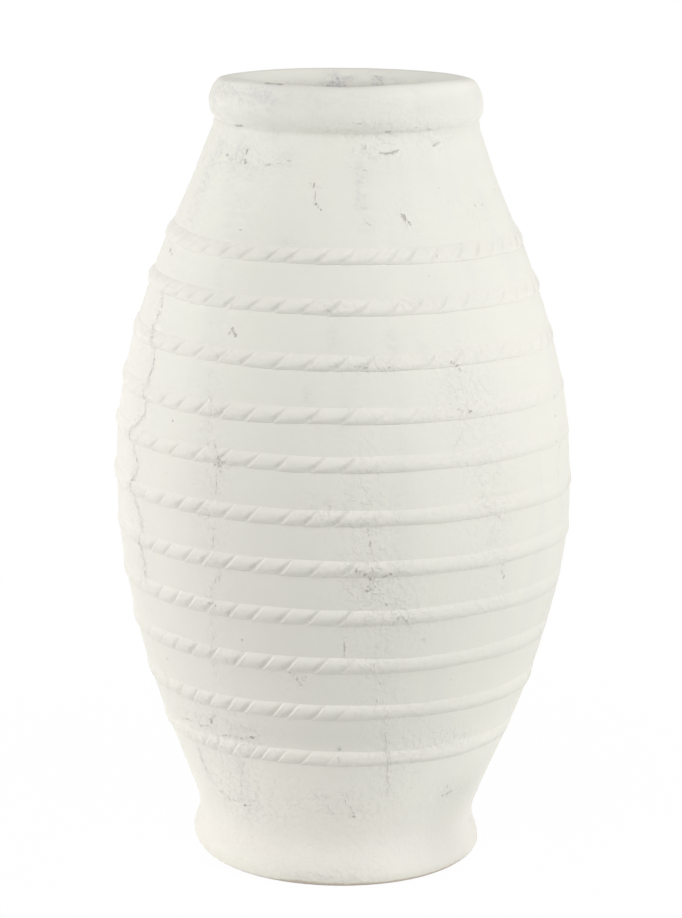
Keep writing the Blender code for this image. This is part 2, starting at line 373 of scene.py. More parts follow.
def hand_shaping(azimuth, height_mm):
    """How far the potter's hands left the wall proud of a true turned shape, in millimetres."""
    round_way = np.radians(azimuth)
    proud = np.zeros(np.broadcast(azimuth, height_mm).shape)
    for turns, rises, start, lift, depth in HAND_WAVES:
        up_way = 2 * np.pi * rises * height_mm / 1000
        proud += depth * np.sin(turns * round_way + start) * np.cos(up_way + lift)
    lowest, highest = np.min(height_mm), np.max(height_mm)
    for at, up, half_width, depth in THUMB_DENTS:
        if lowest - 3 * half_width < up < highest + 3 * half_width:
            away = turned_away(azimuth, at) / (half_width / MM_A_DEGREE)
            rise = (height_mm - up) / half_width
            proud += depth * np.exp(-away * away - rise * rise)
    pressed = hump(height_mm - COVE_AT_MM, COVE_HALF_HEIGHT_MM)
    return proud - COVE_MM * pressed * hump(turned_away(azimuth, COVE_AZIMUTH), COVE_HALF_WIDTH, 4)


CRACKS = [
    # how open it is, then its way as (azimuth, height in millimetres)
    (1.5, ((-66, 448), (-64, 436), (-66, 424), (-63, 414), (-61, 404), (-60, 398))),
    (1.8, ((-60, 396), (-62, 380), (-60, 362), (-65, 350), (-67, 342), (-63, 330), (-61, 320), (-65, 309))),
    (1.8, ((-65, 309), (-64, 296), (-61, 284), (-60, 274), (-62, 262), (-61, 248), (-62, 236))),
    (0.3, ((-66, 400), (-68, 380), (-66, 362), (-68, 345), (-66, 330))),
    (0.65, ((-37, 402), (-36, 388), (-34, 378), (-36, 362), (-35, 348))),
    (0.8, ((-33, 352), (-31, 340), (-32, 328), (-32, 316), (-35, 300), (-33, 286), (-34, 272))),
    (0.65, ((-34, 272), (-32, 258), (-35, 240), (-36, 226), (-36, 205), (-38, 190), (-37, 172))),
    (0.3, ((4, 350), (5, 336), (4, 322), (6, 308), (5, 296), (7, 286), (6, 272))),
    (0.7, ((6, 272), (8, 262), (6, 250), (10, 244), (11, 236), (15, 228), (19, 218), (22, 206))),
    (0.5, ((10, 212), (8, 198), (9, 184), (11, 172), (10, 160), (13, 148), (14, 134))),
    (1.1, ((13.6, 133), (14.5, 124), (15.3, 112), (16.3, 104), (16.6, 96), (17.6, 88), (18.3, 78))),
    (0.35, ((26.5, 404), (30, 397), (30, 388), (33, 379))),
    (0.45, ((33, 379), (31, 364), (28, 350), (34, 334), (37, 322), (36, 308), (41, 298))),
    (0.5, ((41, 298), (39, 284), (40, 270), (44, 262), (43, 250), (45, 238))),
    (0.8, ((0.2, 212), (0.9, 205), (0.6, 198))),
    (0.8, ((0, 122), (-0.6, 116), (-0.2, 109))),
    (1.0, ((-56, 100), (-56, 88), (-55.5, 78), (-53, 71), (-49, 66), (-46, 62.5), (-42, 63))),
    (0.9, ((-42, 63), (-39, 70), (-37.5, 80), (-35, 92), (-34, 100))),
    (0.8, ((-39, 60), (-36, 62))),
    (0.7, ((-33, 74), (-30, 79))),
    (1.2, ((-8, 80), (-5.2, 79), (-4, 75))),
    (1.3, ((-4, 70), (-3, 66), (-0.5, 62))),
    (1.1, ((3, 79), (3, 72), (5, 68), (8, 66))),
    (0.8, ((5, 60), (7.5, 59))),
    (0.4, ((-20, 62), (-15, 70), (-10, 80))),
    (1.2, ((-50, 124), (-46, 125), (-43.5, 131), (-41, 136))),
    (0.7, ((-60, 123), (-57, 125), (-54, 125))),
    (1.0, ((-40, 121), (-36, 122), (-32, 121.5), (-29, 124), (-27, 126))),
    (0.5, ((30, 120), (36, 124), (40, 121), (44, 122))),
    (0.4, ((20, 152), (22, 146), (27, 138), (33, 128))),
    (0.6, ((20.5, 525), (21.5, 517), (23, 509))),
    (0.6, ((5.5, 520), (7.5, 513), (9.5, 510))),
    (0.8, ((-12, 541), (-11, 533), (-10.5, 526))),
    (0.5, ((-10.5, 526), (-8, 521))),
    (0.7, ((-59, 546), (-56, 552), (-54.5, 556))),
    (0.5, ((-52, 549), (-50, 556), (-49.5, 562))),
    (0.8, ((-46, 549), (-44.5, 555), (-43.5, 560))),
    (0.5, ((-33, 549), (-31, 551), (-29, 550))),
    (0.5, ((1, 551), (5, 550), (10, 549))),
    (0.45, ((-5, 452), (-3, 456), (-1, 455), (0.5, 450))),
    (0.45, ((8, 418), (11, 417), (13, 412))),
    (0.4, ((-7, 320), (-4, 314), (-2, 307), (2, 303))),
    (0.4, ((-5, 318), (-2, 312), (0, 305))),
]
BACK_CRACKS_AT = (-98, -122, -151, -174, 158, 137, 118, 92, 74)
for at in BACK_CRACKS_AT:
    up = hand.uniform(60, 200)
    for _ in range(hand.integers(2, 5)):
        run = [(at + hand.uniform(-2, 2), up)]
        for _ in range(hand.integers(4, 9)):
            up += hand.uniform(9, 16)
            run.append((run[-1][0] + hand.uniform(-2.6, 2.6), up))
        CRACKS.append((hand.uniform(0.35, 0.9), tuple(run)))
        up += hand.uniform(8, 60)
        if up > 480:
            break

PITS = [
    # azimuth, height, half width and half height in millimetres, and depth from 0 to 1
    (-32, 435, 1.5, 1.6, 1), (-30.8, 431, 1.3, 1.9, 1), (-33, 431, 0.8, 0.8, 0.6),
    (-47.6, 363, 0.9, 0.9, 1), (-43.5, 549.5, 1.8, 1, 1), (-55.5, 552.5, 1.6, 1.2, 0.9),
    (-52, 574.5, 2.4, 0.8, 1), (-56, 573.5, 2, 0.7, 0.8), (-44.2, 557, 1, 2.2, 0.9),
    (-10.3, 525, 1, 1.1, 0.9), (-8.2, 521, 0.9, 0.8, 0.8), (-11.6, 538, 0.7, 1.7, 0.8),
    (21.6, 515, 0.9, 2.6, 1), (20.4, 517, 0.6, 1.8, 0.7), (23.2, 511, 0.8, 1.2, 0.6),
    (-72, 478, 2.2, 1.6, 0.9), (-69, 476, 1.4, 1, 0.7), (-58.5, 173, 1.5, 0.9, 0.7),
    (5.2, 263, 1.8, 1.6, 1), (6.6, 259, 1.1, 1.5, 0.8), (3.2, 266, 1.2, 1.8, 0.9), (11.4, 263, 1.8, 1.2, 1),
    (10, 261, 1, 1, 0.8), (5.8, 250, 1.3, 1.2, 1), (7.8, 253, 0.8, 1.6, 0.7), (10.9, 239, 0.9, 0.9, 0.9),
    (13.8, 228, 1.2, 1, 0.8), (16.2, 226, 1, 0.8, 0.6), (6.4, 286, 1.1, 2.6, 0.6), (6, 296, 0.8, 2, 0.5),
    (-31.4, 339, 1.2, 1, 1), (-29.6, 340, 0.9, 0.9, 0.8), (-32.6, 337, 0.9, 0.9, 0.7),
    (-31, 333, 0.7, 1.4, 0.6), (-24.5, 261, 0.9, 0.6, 0.7), (-32.2, 252, 0.7, 2.6, 0.5),
    (-33.8, 230, 1.2, 0.8, 0.8), (-36, 231, 1, 0.9, 0.6), (31.4, 411, 1.4, 1.3, 0.9),
    (29.6, 414, 1.1, 1.4, 0.7), (32.4, 407, 0.8, 1.3, 0.6), (33.6, 378, 1.6, 1, 0.9),
    (30.4, 380, 0.8, 0.8, 0.6), (44.3, 250, 0.8, 1.7, 0.8), (43.2, 255, 0.6, 1, 0.5),
    (41.6, 297, 0.9, 1.3, 0.6), (46, 70, 1.7, 1.6, 0.8), (43.4, 69, 1.5, 1.4, 0.7), (48, 71, 1.2, 0.9, 0.6),
    (6.4, 60, 1.3, 0.8, 0.8), (-38.4, 61, 1.2, 1.2, 0.9), (-46.6, 62, 1.4, 0.8, 0.8),
    (-56, 91, 0.9, 2.2, 0.8), (-43.4, 131, 1.3, 2.6, 1), (-28.2, 124, 2, 1.4, 1),
    (-32.4, 121.5, 1.2, 0.8, 0.9), (-36.6, 122, 1, 0.7, 0.8), (-57, 124.5, 2, 0.8, 0.9),
    (-12, 178, 0.9, 1.8, 0.7), (-11, 173, 0.8, 1.1, 0.8), (-14, 183, 1.2, 0.7, 0.7),
    (-9.6, 180, 0.7, 0.7, 0.6), (0.6, 205, 0.9, 4.2, 0.6), (0.1, 120, 0.8, 1.2, 0.8),
    (-27, 205, 0.9, 1.4, 0.7), (-27.5, 196, 0.8, 0.9, 0.6), (8, 565, 1.2, 1.8, 0.5),
    (17.5, 560.5, 3.2, 0.9, 0.9), (21.5, 562, 1.6, 0.8, 0.7), (14.6, 561, 1.4, 0.9, 0.6),
    (39.6, 564, 2, 0.9, 0.8), (42.6, 565.5, 1.2, 0.8, 0.5), (54.5, 518, 1, 1.6, 0.6),
    (59, 518, 0.9, 0.9, 0.6), (-37.2, 503, 1.6, 0.7, 0.5), (-23, 554, 1.8, 0.8, 0.5),
    (-31.4, 550, 1.8, 0.7, 0.7), (-64.2, 440, 0.9, 2, 0.8), (-66.6, 424, 0.9, 1.6, 0.7),
    (-64, 417, 2.2, 0.9, 0.8), (-60.4, 402, 0.8, 1.8, 0.8), (-61.2, 374, 0.8, 1.6, 0.7),
    (-66.4, 343, 1.4, 1.1, 0.8), (-62.6, 326, 1, 1.8, 0.8), (-64.8, 309, 1.8, 0.9, 0.9),
    (-61.6, 290, 0.8, 1.6, 0.7), (-62.4, 262, 1.2, 2.2, 0.9), (-61.6, 240, 0.8, 1.6, 0.6),
    (27, 82, 1, 0.7, 0.5), (44, 77, 1.4, 0.6, 0.5), (38, 83, 1, 0.6, 0.4), (12, 96, 0.7, 0.7, 0.4),
    (27, 96, 1.6, 0.6, 0.5), (1.6, 384, 1, 1.2, 0.4), (30.5, 488, 0.9, 1, 0.5), (-4, 452, 1, 0.8, 0.5),
    (6, 413, 1.6, 0.7, 0.6), (12, 413, 1, 0.9, 0.7), (3, 414, 1.4, 0.6, 0.5), (14.5, 452, 0.8, 0.5, 0.4),
    (17.6, 576, 2.6, 0.7, 0.8), (37, 576, 2.4, 0.8, 0.6), (30, 578, 1.4, 0.6, 0.5),
    (-8, 576, 1.4, 0.5, 0.5), (5, 582, 2.2, 0.7, 0.4), (-38.2, 607.4, 3, 0.5, 1),
    (-35, 607.5, 2.6, 0.35, 0.7), (-31.6, 607.6, 4, 0.5, 1),
]
for _ in range(260):
    at = hand.uniform(66, 294)
    size = hand.uniform(0.35, 1.5) ** 1.3
    PITS.append((at, hand.uniform(20, 585), size, size * hand.uniform(0.6, 1.5), hand.uniform(0.3, 1.0)))
for _ in range(70):
    at = hand.uniform(-66, 66)
    size = hand.uniform(0.25, 0.6)
    PITS.append((at, hand.uniform(50, 570), size, size * hand.uniform(0.7, 1.4), hand.uniform(0.25, 0.6)))


def take_nearest(kept, nearest, near_by, away, found):
    """Where a mark is nearer than all before it, what was found there replaces what was kept."""
    closer = away < nearest[near_by]
    at = np.flatnonzero(near_by.ravel())[closer]
    nearest.ravel()[at] = away[closer]
    for values, new in zip(kept, found):
        values.ravel()[at] = new[closer]


# How far a crack is looked for from its way, and within what its ends, its sides and the crazing fade
CRACK_REACH_MM = 12.0
CRACK_REACH_DEGREES = 8.0
CRACK_ENDS_WITHIN_MM = 1.2
CRACK_FADES_ASIDE_MM = 6.0
CRAZED_ASIDE_MM = 5.0


def open_cracks(azimuth, height_mm, radius_mm):
    """Millimetres to the right of the nearest crack, how open it is, and how crazed the skin is beside it."""
    nearest = np.full(azimuth.shape, 1e3)
    offset, opened, crazed = np.zeros((3,) + azimuth.shape)
    lowest, highest = np.min(height_mm) - CRACK_REACH_MM, np.max(height_mm) + CRACK_REACH_MM
    for strength, way in CRACKS:
        for (start_at, start_up), (end_at, end_up) in zip(way, way[1:]):
            if max(start_up, end_up) < lowest or min(start_up, end_up) > highest:
                continue
            reach_up = 0.5 * abs(end_up - start_up) + CRACK_REACH_MM
            reach_round = 0.5 * abs(end_at - start_at) + CRACK_REACH_DEGREES
            near_by = np.abs(height_mm - 0.5 * (start_up + end_up)) < reach_up
            near_by &= np.abs(turned_away(azimuth, 0.5 * (start_at + end_at))) < reach_round
            if not near_by.any():
                continue
            mm_a_degree = radius_mm[near_by] * np.pi / 180
            east = turned_away(azimuth[near_by], start_at) * mm_a_degree
            north = height_mm[near_by] - start_up
            run_east = (end_at - start_at) * mm_a_degree
            run_north = end_up - start_up
            run = np.hypot(run_east, run_north)
            along = (east * run_east + north * run_north) / run
            across = (east * run_north - north * run_east) / run
            beyond = np.maximum(0.0, np.maximum(-along, along - run))
            away = np.hypot(across, beyond)
            fading = (beyond / CRACK_ENDS_WITHIN_MM) ** 2 + (across / CRACK_FADES_ASIDE_MM) ** 4
            take_nearest((offset, opened), nearest, near_by, away, (across, strength * np.exp(-fading)))
            crazed[near_by] = np.maximum(crazed[near_by], strength * hump(away, CRAZED_ASIDE_MM))
    return offset, opened, crazed


# How large a pit is for its size in the table, how far it is looked for, and within what it fades
PIT_SPREAD = 0.85
PIT_REACH_MM = 8.0
PIT_REACH_DEGREES = 6.0
PIT_ENDS_WITHIN_MM = 4.5


def open_pits(azimuth, height_mm, radius_mm):
    """Place in the nearest pit, as shares of its half width and half height, and how deep it is."""
    nearest = np.full(azimuth.shape, 1e3)
    east, north, deep = np.zeros((3,) + azimuth.shape)
    lowest, highest = np.min(height_mm) - PIT_REACH_MM, np.max(height_mm) + PIT_REACH_MM
    for at, up, half_width, half_height, depth in PITS:
        if not lowest < up < highest:
            continue
        near_by = np.abs(height_mm - up) < PIT_REACH_MM
        near_by &= np.abs(turned_away(azimuth, at)) < PIT_REACH_DEGREES
        if not near_by.any():
            continue
        degrees = turned_away(azimuth[near_by], at)
        right = degrees * radius_mm[near_by] * np.pi / 180 / (PIT_SPREAD * half_width)
        above = (height_mm[near_by] - up) / (PIT_SPREAD * half_height)
        away = np.hypot(right, above)
        reach = away * min(half_width, half_height)
        found = (right, above, depth * hump(reach, PIT_ENDS_WITHIN_MM, 4))
        take_nearest((east, north, deep), nearest, near_by, away, found)
    return east, north, deep


OUTSIDE_STAINS = (
    # azimuth, height, half width in degrees, half height in millimetres, and how dark
    (6.5, 528, 2.2, 16, 0.9), (5, 540, 1.2, 10, 0.5), (-67, 530, 3, 14, 0.9), (-66, 500, 3, 12, 0.6),
    (-62, 555, 6, 8, 0.6), (-50, 560, 4, 6, 0.7), (-45, 545, 6, 8, 0.6), (-24, 555, 3, 5, 0.7),
    (-33, 572, 2.5, 3, 1), (-54, 574, 4, 1.6, 1), (-40, 515, 6, 18, 0.35), (-18, 497, 2, 2, 0.7),
    (-40, 480, 2, 12, 0.3), (-3, 432, 1.2, 10, 0.5), (13.5, 428, 1.4, 9, 0.6), (22, 418, 1.2, 8, 0.4),
    (-9, 394, 1.2, 9, 0.5), (-6, 374, 1, 12, 0.3), (0, 372, 1.2, 16, 0.4), (-36, 350, 3, 60, 0.35),
    (14, 330, 2, 30, 0.25), (13, 270, 1.5, 40, 0.3), (-12, 340, 1.2, 20, 0.25), (6, 262, 3.5, 12, 0.5),
    (-63, 340, 4, 90, 0.12), (-37, 62, 5, 8, 0.5), (-56, 85, 2, 14, 0.6), (-36, 92, 2, 12, 0.6),
    (-31, 130, 4, 10, 0.6), (-58, 597, 18, 6, 1), (-38, 592, 6, 7, 0.9), (2, 601, 34, 5, 0.35),
    (-70, 588, 9, 8, 0.8), (-10, 586, 4, 8, 0.4), (25, 592, 20, 6, 0.2), (60, 575, 20, 6, 0.2),
    (-10, 9, 10, 5, 0.7), (8, 13, 5, 5, 0.25), (17, 170, 3, 40, 0.25), (42, 296, 3, 30, 0.3),
    (31, 400, 3, 25, 0.35), (115, 520, 5, 20, 0.6), (165, 470, 3, 30, 0.5), (-110, 330, 4, 60, 0.5),
    (140, 300, 3, 70, 0.4), (-150, 180, 5, 40, 0.5), (98, 140, 3, 40, 0.5), (-120, 575, 12, 6, 0.7),
    (175, 590, 16, 8, 0.6), (150, 60, 8, 20, 0.5),
)
INSIDE_STAINS = (
    # the same inside the mouth
    (-177, 590.5, 6.5, 4.5, 1), (-172, 587, 4, 3, 0.7), (163, 592, 3.2, 5, 1),
    (152.5, 590.5, 4.5, 2.2, 0.7), (135, 591, 9, 4, 0.4), (-148, 590, 8, 3, 0.25), (-120, 586, 12, 3, 0.2),
    (-30, 580, 12, 8, 0.6), (40, 585, 14, 8, 0.5), (90, 580, 10, 12, 0.6), (-90, 575, 12, 12, 0.6),
)
OUTSIDE_STAIN = 0.5
ROUGH_PLACES = (
    # azimuth, height, half width in degrees, half height in millimetres, and how much the skin flakes
    (-64, 340, 5, 110, 0.6), (-34, 310, 4, 90, 0.5), (6, 300, 4, 45, 0.8), (8, 258, 7, 12, 1),
    (14, 230, 8, 9, 0.7), (10, 180, 5, 40, 0.5), (-45, 110, 16, 30, 0.7), (-42, 65, 14, 14, 0.8),
    (0, 68, 14, 16, 0.8), (20, 110, 8, 30, 0.5), (36, 122, 10, 6, 0.8), (16, 562, 8, 7, 1),
    (8, 566, 5, 9, 0.9), (10, 579, 40, 6, 0.9), (40, 565, 6, 5, 0.8), (55, 516, 7, 10, 0.6),
    (-70, 545, 14, 30, 0.7), (-45, 552, 16, 10, 0.6), (34, 395, 7, 20, 0.7), (39, 310, 6, 50, 0.6),
    (5, 414, 8, 4, 1), (-3, 454, 5, 4, 0.9), (-3, 310, 6, 10, 0.8), (20, 457, 4, 4, 0.8),
    (-12, 178, 4, 8, 0.7), (-52, 124, 14, 7, 1), (-30, 340, 3, 6, 0.8), (-40, 25, 60, 20, 0.3),
    (45, 70, 9, 8, 0.6), (-6, 10, 18, 6, 0.8), (22, 515, 5, 12, 0.4), (-120, 350, 8, 80, 0.7),
    (150, 250, 9, 70, 0.7), (100, 480, 10, 30, 0.4), (-160, 90, 14, 30, 0.8), (175, 560, 16, 12, 0.8),
)


def patches(places, azimuth, height_mm):
    """Soft patches laid over the clay, adding up."""
    total = np.zeros(azimuth.shape)
    for at, up, degrees, half_height, strength in places:
        away = turned_away(azimuth, at) / degrees
        rise = (height_mm - up) / half_height
        total += strength * np.exp(-0.5 * (away * away + rise * rise))
    return np.clip(total, 0.0, 1.0)


# How pink the wash is all round at the ground, and the height by which that has faded to a third
WARM_FOOT = 0.55
WARM_FOOT_MM = 45.0
WARM_PLACES = (
    # azimuth, height, half width in degrees, half height in millimetres, and how pink
    (-55, 0, 40, 45, 0.45), (-80, 330, 22, 190, 0.4), (-35, 180, 35, 150, 0.52),
)


def warmth(azimuth, height_mm):
    """How pink the wash is where it took up iron from the clay: round the foot, most of all on the left."""
    pink = WARM_FOOT * hump(height_mm, WARM_FOOT_MM)
    for at, up, degrees, half_height, strength in WARM_PLACES:
        pink = pink + strength * hump(turned_away(azimuth, at), degrees) * hump(height_mm - up, half_height)
    return pink


WASH_COATS = (
    # how heavily the wash lies at each height, 1 being its usual thickness
    (0, 1.3), (60, 1.25), (100, 1.1), (140, 0.8), (300, 0.8), (420, 1.1), (560, 1.2), (610, 1.2),
)
THIN_WASH_AND_SHADE_PLACES = (
    # azimuth, height, half width in degrees, half height in millimetres, and how much darker the wash is made:
    # thinner wash in most places, and painted shade on the lip's front and on the neck under its bulge
    (-8, 594, 34, 9, 0.40), (42, 592, 14, 8, 0.15), (-32, 590, 12, 12, 0.2), (52, 20, 13, 30, 0.8),
    (54, 70, 12, 16, 0.5), (-22, 330, 13, 130, 0.30), (-26, 490, 10, 30, 0.2), (58, 545, 14, 40, 0.2),
    (40, 500, 16, 60, 0.2), (-8, 128, 26, 9, 0.35), (-2, 573, 40, 5, 0.3), (15, 552, 16, 10, 0.2),
)
PAINTED_LIGHT_PLACES = (
    # the same for where the wash is painted paler, as painted light: the light thrown up from the floor on the
    # foot's lower edge, the light on the lip's crown, and down the left side
    (-80, 330, 14, 150, 0.15), (0, 5, 30, 10, 0.85), (-40, 10, 16, 10, 0.4), (-80, 605, 36, 3, 0.7),
    (78, 604, 26, 3, 0.6),
)


SHARP_FROM_DEGREES = 55.0


def all_round(columns):
    """The azimuths of the points of a ring."""
    return np.arange(columns) * 360.0 / columns


def thrown_ring(name, azimuth, height_mm, radius_mm, inner_rows, bare, coat_and_painted_light=1.0, top_highlight=0.0):
    """A closed ring of clay from the rows of its section, which go up the outside and down the inside."""
    rows, columns = radius_mm.shape
    turn = np.radians(azimuth)
    points = np.empty((rows, columns, 3))
    points[..., 0] = (radius_mm * np.sin(turn) + smooth_through(LEANING_MM, height_mm)) / 1000
    points[..., 1] = -radius_mm * np.cos(turn) / 1000
    points[..., 2] = height_mm / 1000
    i = np.arange(rows)[:, None]
    j = np.arange(columns)[None, :]
    up = (i + 1) % rows
    right = (j + 1) % columns
    corners = np.stack([i * columns + j, i * columns + right, up * columns + right, up * columns + j], -1)
    mesh = bpy.data.meshes.new(name)
    mesh.vertices.add(rows * columns)
    mesh.vertices.foreach_set("co", points.ravel())
    mesh.loops.add(corners.size)
    mesh.loops.foreach_set("vertex_index", corners.ravel())
    mesh.polygons.add(rows * columns)
    mesh.polygons.foreach_set("loop_start", np.arange(rows * columns) * 4)
    mesh.update(calc_edges=True)
    mesh.validate()
    mesh.shade_smooth()
    mesh.set_sharp_from_angle(angle=np.radians(SHARP_FROM_DEGREES))
    piece = add_object(name, mesh)

    around = np.broadcast_to(azimuth, radius_mm.shape)
    outside = np.ones((rows, columns))
    outside[inner_rows] = 0.0
    offset, opened, crazed = open_cracks(around, height_mm, radius_mm)
    east, north, deep = open_pits(around, height_mm, radius_mm)
    stained = OUTSIDE_STAIN * patches(OUTSIDE_STAINS, around, height_mm) * outside
    stained += patches(INSIDE_STAINS, around, height_mm) * (1 - outside)
    rough = patches(ROUGH_PLACES, around, height_mm)
    # How dark the wash is made: its thickness at each height, thinner in places, and painted shade under the
    # ropes, in their notches, in the cove under the lip and on the lip's front, with the rope tops painted
    # lighter
    thickness_and_painted_light = coat_and_painted_light * (smooth_through(WASH_COATS, height_mm) - patches(THIN_WASH_AND_SHADE_PLACES, around, height_mm))
    # Painted light: the wash is painted paler in the places listed, on the rope tops, and all over the inside,
    # where the mouth keeps out the light
    painted_light_share = np.maximum(np.maximum(patches(PAINTED_LIGHT_PLACES, around, height_mm), top_highlight), 1 - outside)
    for label, values in (
        ("crack", (offset, opened * outside, crazed * outside)),
        ("pit", (east, north, deep * outside)),
        ("skin", (stained, np.clip(bare, 0, 1), rough)),
        ("wash", (thickness_and_painted_light, warmth(around, height_mm), painted_light_share)),
    ):
        data = mesh.attributes.new(label, "FLOAT_VECTOR", "POINT").data
        data.foreach_set("vector", np.stack(np.broadcast_arrays(*values), -1).astype(np.float32).ravel())
    return piece


def hand_off(piece, node, material):
    """The finished piece stands for its solid and takes its finish."""
    piece.data.materials.append(material)
    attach(piece, "root")
    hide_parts(node)


def carried(tree, name):
    """The three values that the mesh carries at each of its points under this name."""
    read = Signal(put(tree, "ShaderNodeAttribute", attribute_name=name), "Vector")
    parts = put(tree, "ShaderNodeSeparateXYZ", {0: read})
    return [Signal(parts, axis) for axis in "XYZ"]


# Marks of the brush in the wash: height in millimetres and a tone from 0 to 1
brush_marks, (depth_mm,) = shader_group("brush_marks", {"Depth mm": 0.05}, ("Height", "Tone"))
broad = mottle(brush_marks, 22.0, 2.0, 0.5, stretch=(1.0, 14.0), skew=1.0)
narrow = mottle(brush_marks, 60.0, 3.0, 0.6, stretch=(1.0, 16.0), skew=2.0)
tone = narrow * 0.6 + broad * 0.4
put(brush_marks, "NodeGroupOutput", {"Height": tone * depth_mm, "Tone": tone})

# Hairline cracks, read from their ways over the clay: how dark they are, the painted highlight along one side
# of them, how deep they are in millimetres, and how crazed the skin is
HAIRLINE_STRANDS = (
    # how far beside the way in millimetres, how far it wanders, how open, where it breaks off, its own noise
    (0.0, 4.5, 0.9, 0.50, 0.0),
    (1.6, 5.5, 0.5, 0.56, 21.0),
    (-1.8, 5.5, 0.5, 0.58, 37.0),
)
# How far to one side of a crack its painted highlight lies
HIGHLIGHT_ASIDE_MM = 0.7
hairlines, (width_mm, depth_mm) = shader_group(
    "hairlines", {"Width mm": 0.5, "Depth mm": 0.4}, ("Mask", "Highlight", "Height", "Crazed")
)
offset, opened, crazed = carried(hairlines, "crack")
bent = offset + (mottle(hairlines, 700.0, 2.0, 0.6, skew=4.0) * 2.8 - 1.4)
masks, highlights = [], []
for beside, wander, strength, breaks_from, skew in HAIRLINE_STRANDS:
    line = bent + (mottle(hairlines, 150.0, 2.0, 0.6, skew=skew) * wander + (beside - 0.5 * wander))
    gaps = mottle(hairlines, 210.0, 3.0, 0.75, stretch=(1.0, 0.7), skew=skew + 7.0)
    breaks = (opened * 0.06 + gaps).eased(breaks_from, breaks_from + 0.12)
    open_here = breaks * (opened * strength)
    width = (open_here + 0.35) * width_mm
    shown = open_here.eased(0.05, 0.6)
    for strokes, aside in ((masks, 0.0), (highlights, HIGHLIGHT_ASIDE_MM)):
        closeness = maths("SUBTRACT", 1.0, maths("ABSOLUTE", line + aside) / width, clamp=True)
        strokes.append(maths("POWER", closeness, 0.7) * shown)
mask, highlight = (reduce(partial(maths, "MAXIMUM"), strokes) for strokes in (masks, highlights))
put(hairlines, "NodeGroupOutput", {
    "Mask": mask, "Highlight": highlight, "Height": (highlight * 0.3 - mask) * depth_mm, "Crazed": crazed,
})

# Pits where grit or air burst out of the clay: how dark, their pale rims, and how deep in millimetres
burst_pits, (depth_mm,) = shader_group("burst_pits", {"Depth mm": 0.8}, ("Mask", "Rim", "Height"))
east, north, deep = carried(burst_pits, "pit")
away = maths("SQRT", east * east + north * north)
torn = away + (mottle(burst_pits, 620.0, 3.0, 0.7, skew=9.0) * 3.6 - 1.8)
hollow = torn.eased(1.25, 0.5)
mask = hollow * deep
rim = maths("SUBTRACT", torn.eased(1.9, 1.3, 0.0, 0.6), hollow, clamp=True) * deep
put(burst_pits, "NodeGroupOutput", {
    "Mask": mask, "Rim": rim, "Height": (rim * 0.25 - mask) * depth_mm,
})

# Flaking of the skin in rough places: height in millimetres and a mask of its dark edges
flaking, (amount,) = shader_group("flaking", {"Amount": 1.0}, ("Mask", "Height"))
flakes = mottle(flaking, 200.0, 2.5, 0.55, skew=12.0)
ledge = flakes.eased(0.52, 0.57)
edge = 1.0 - maths("ABSOLUTE", ledge * 2.0 - 1.0)
level = ledge * 0.15 + (flakes - 0.55)
put(flaking, "NodeGroupOutput", {"Mask": edge * amount, "Height": level * amount})

SOOT = (0.43, 0.41, 0.48, 1.0)
CRACK_SHADE = (0.42, 0.42, 0.42, 1.0)
PIT_SHADE = (0.33, 0.295, 0.235, 1.0)
# The pale rims of the pits, also the painted highlight beside the cracks
PALE_RIM_AND_HIGHLIGHT = (0.93, 0.92, 0.87, 1.0)
HAIRLINE_WIDTH_MM = 0.38
HAIRLINE_DEPTH_MM = 0.32
PIT_DEPTH_MM = 0.6
FLAKE_MM = 1.15
BARED_MM = 0.25


